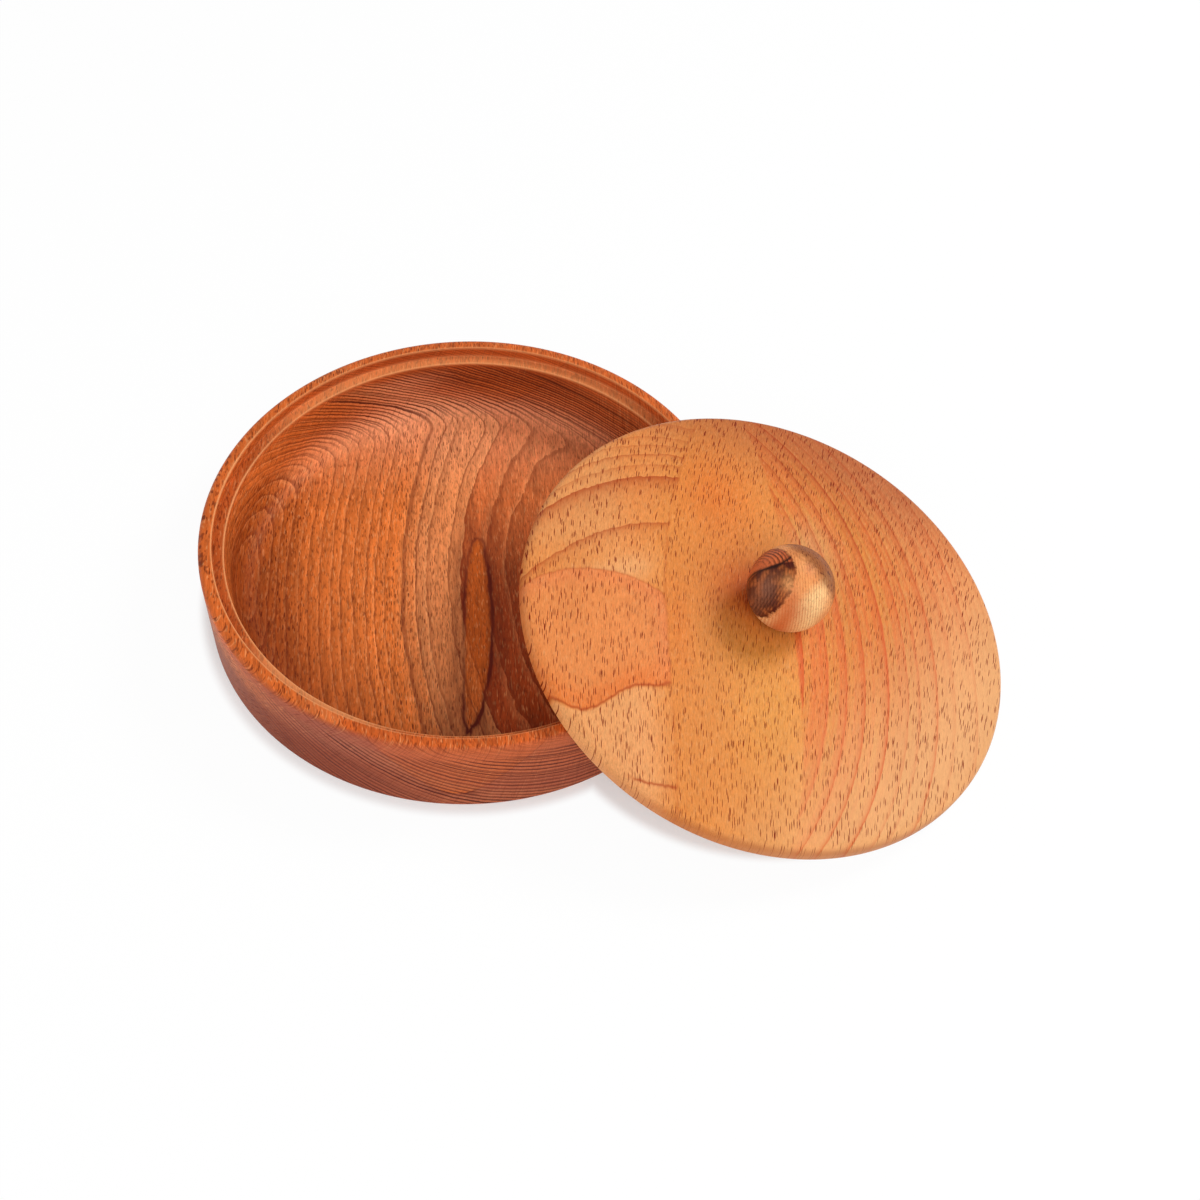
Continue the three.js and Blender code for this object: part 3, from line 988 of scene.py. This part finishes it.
def dowel_material(pose):
    """The dowel's plain beech, with its grain along it."""
    wood = settings().knob_wood
    g = Graph(bpy.data.materials.new("dowel_beech"))
    x, y, z = own_point(g, pose)
    thread = g.noise(x / 0.4, y / 0.4, z / 6, 3.0)
    line = ((x + 0.4 * y) / 1.3).fraction().ease(0.4, 0.9)
    rays = specks(g, y, z, x, (6.0, 2.0, 0.4), 0.25, 5.0)
    tone = g.mix(0.4 * line, wood.dowel, wood.pink)
    tone = g.mix(0.6 * rays, tone, wood.heart)
    tone = g.brighten(tone, 1.0 + 0.15 * thread)
    return g.finish(tone, 0.55 + 0.08 * thread, 0.5 + 0.2 * thread - 0.3 * rays, 0.08 * MM)


# Operators


class TURNED_OT_bowl(Operator):
    """Turn the box itself"""

    bl_idname = "turned_box.bowl"
    bl_label = "Bowl"

    def execute(self, context):
        piece = turned("bowl_wood", bowl_path(), WIDE_STEPS)
        rests_on_frame(piece, "bowl", "box", bowl_material())
        return {"FINISHED"}


class TURNED_OT_lid(Operator):
    """Turn the domed lid, hollow underneath"""

    bl_idname = "turned_box.lid"
    bl_label = "Lid"

    def execute(self, context):
        pose = lid_pose()
        piece = turned("lid_wood", lid_path(), WIDE_STEPS, place=pose)
        rests_on_frame(piece, "lid", "lid", lid_material(pose))
        return {"FINISHED"}


class TURNED_OT_knob(Operator):
    """Turn the ball knob and its fluted dowel"""

    bl_idname = "turned_box.knob"
    bl_label = "Knob and dowel"

    def execute(self, context):
        pose = lid_pose()
        knob = turned("knob_wood", knob_path(), BALL_STEPS, place=pose)
        rests_on_frame(knob, "knob", "lid", knob_material(pose))
        sizes = settings().knob
        flutes = (sizes.dowel_flutes, sizes.dowel_flute_depth)
        steps = FLUTE_STEPS * sizes.dowel_flutes
        dowel = turned("dowel_wood", dowel_path(), steps, flutes, pose, grain=(0, 0, 1))
        rests_on_frame(dowel, "knob_dowel", "lid", dowel_material(pose))
        return {"FINISHED"}


# Stage


def point_camera(studio):
    """Camera at the photograph's angle. The aim shows at its own pixel of the picture."""
    picture = studio.picture_width
    aim = Vector((0, 0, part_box("bowl")[1].z - studio.aim_drop))
    elevation = studio.camera_elevation
    away = Vector((0, -math.cos(elevation), math.sin(elevation)))
    focal_pixels = studio.focal_length / studio.sensor_width * picture
    ray = Vector((studio.aim_x - picture / 2, picture / 2 - studio.aim_y, -focal_pixels))
    level = (-away).to_track_quat("-Z", "Y")
    roll = Quaternion((0, 0, 1), -studio.camera_roll)
    offset = ray.rotation_difference(Vector((0, 0, -1)))
    data = bpy.data.cameras.new("camera")
    data.lens = studio.focal_length
    data.sensor_width = studio.sensor_width
    data.clip_start = 0.01
    place = aim + away * studio.camera_distance
    camera = add_object("camera", data)
    camera.matrix_world = Matrix.LocRotScale(place, level @ roll @ offset, None)
    bpy.context.scene.camera = camera


# Each lamp: name, setting of its power, direction from the box, distance and side in metres.
LAMPS = (
    ("main_softbox", "main_power", (0.10, -0.95, 0.85), 1.3, 0.8),
    ("right_softbox", "right_power", (0.90, 0.30, 0.95), 1.3, 0.45),
    ("left_softbox", "left_power", (-1.0, -0.10, 0.30), 1.2, 0.6),
)


def softbox(studio, name, power, direction, distance, side):
    """A square lamp in a direction, which looks at the box."""
    data = bpy.data.lights.new(name, "AREA")
    data.shape = "SQUARE"
    data.size = side
    data.energy = getattr(studio, power)
    place = Vector(direction).normalized() * distance
    lamp = add_object(name, data)
    lamp.matrix_world = Matrix.LocRotScale(place, place.to_track_quat("Z", "Y"), None)


def looked_at(graph):
    """1 for rays from the camera, from mirrors and through glass, and 0 for light on the pieces."""
    path = graph.node("LightPath", output="Is Camera Ray")
    return path.greatest(path.out("Is Glossy Ray")).greatest(path.out("Is Transmission Ray"))


def table_material(studio):
    """Pale table, which looks mostly white and keeps the pieces' shadow, the more so close to them."""
    g = Graph(bpy.data.materials.new("pale_table"))
    pale = g.node("BsdfDiffuse", None, {"Color": tuple(studio.table) + (1.0,)})
    white = g.node("Emission", None, {"Color": (1, 1, 1, 1), "Strength": 1.0})
    x, y, _ = own_point(g)
    lid = lid_pose().to_translation() / MM

    # In millimetres: the radius of the dark patch under the lid, and the width of the contact shadow.
    under_lid = 76.0
    contact_width = 5.0
    contact_shadow = 0.6
    beside_bowl = (x**2 + y**2).root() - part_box("bowl")[1].x / MM
    beside_lid = ((x - lid.x) ** 2 + (y - lid.y) ** 2).root() - under_lid
    close = beside_bowl.least(beside_lid).ease(contact_width, 0)
    share = (studio.table_whiteness - contact_shadow * close) * looked_at(g)
    both = g.node("MixShader", None, (share, pale, white))
    g.node("OutputMaterial", None, {"Surface": both})
    return g.owner


def studio_world(studio):
    """White surroundings, which light the pieces less strongly than they look."""
    g = Graph(bpy.data.worlds.new("studio"))
    strength = studio.sky_strength + (1.0 - studio.sky_strength) * looked_at(g)
    sky = g.node("Background", None, {"Color": (1, 1, 1, 1), "Strength": strength})
    g.node("OutputWorld", None, {"Surface": sky})
    return g.owner


class TURNED_OT_stage(Operator):
    """Set up the table, the soft lamps and the camera"""

    bl_idname = "turned_box.stage"
    bl_label = "Stage"

    def execute(self, context):
        scene = context.scene
        studio = settings().studio
        side = studio.table_side
        mesh = bpy.data.meshes.new("table")
        corners = [(-side, -side, 0), (side, -side, 0), (side, side, 0), (-side, side, 0)]
        mesh.from_pydata(corners, [], [(0, 1, 2, 3)])
        mesh.materials.append(table_material(studio))
        add_object("table", mesh)
        for lamp in LAMPS:
            softbox(studio, *lamp)
        scene.world = studio_world(studio)
        scene.view_settings.view_transform = "Standard"
        point_camera(studio)
        return {"FINISHED"}


# Panel and registration


class TURNED_PT_panel(Panel):
    """Lists the pieces and the main sizes"""

    bl_idname = "TURNED_PT_panel"
    bl_label = "Turned Box"
    bl_space_type = "VIEW_3D"
    bl_region_type = "UI"
    bl_category = "Turned Box"

    def draw(self, context):
        box = context.scene.turned_box
        for group in (box.bowl, box.lid, box.knob, box.bowl_wood, box.lid_wood, box.knob_wood, box.studio):
            column = self.layout.column(align=True)
            for name in group.bl_rna.properties.keys():
                if name not in ("rna_type", "name"):
                    column.prop(group, name)
        for operator in PIECES:
            self.layout.operator(operator.bl_idname)


PIECES = (TURNED_OT_bowl, TURNED_OT_lid, TURNED_OT_knob, TURNED_OT_stage)
GROUPS = (BowlSizes, LidSizes, KnobSizes, BowlWood, LidWood, KnobWood, Studio, TurnedBox)
CLASSES = GROUPS + PIECES + (TURNED_PT_panel,)


def register():
    for item in CLASSES:
        bpy.utils.register_class(item)
    bpy.types.Scene.turned_box = PointerProperty(type=TurnedBox)


def unregister():
    del bpy.types.Scene.turned_box
    for item in reversed(CLASSES):
        bpy.utils.unregister_class(item)


def main():
    """Makes every piece and the stage."""
    register()
    bpy.ops.turned_box.bowl()
    bpy.ops.turned_box.lid()
    bpy.ops.turned_box.knob()
    bpy.ops.turned_box.stage()
    bpy.context.view_layer.update()


if __name__ == "__main__":
    main()
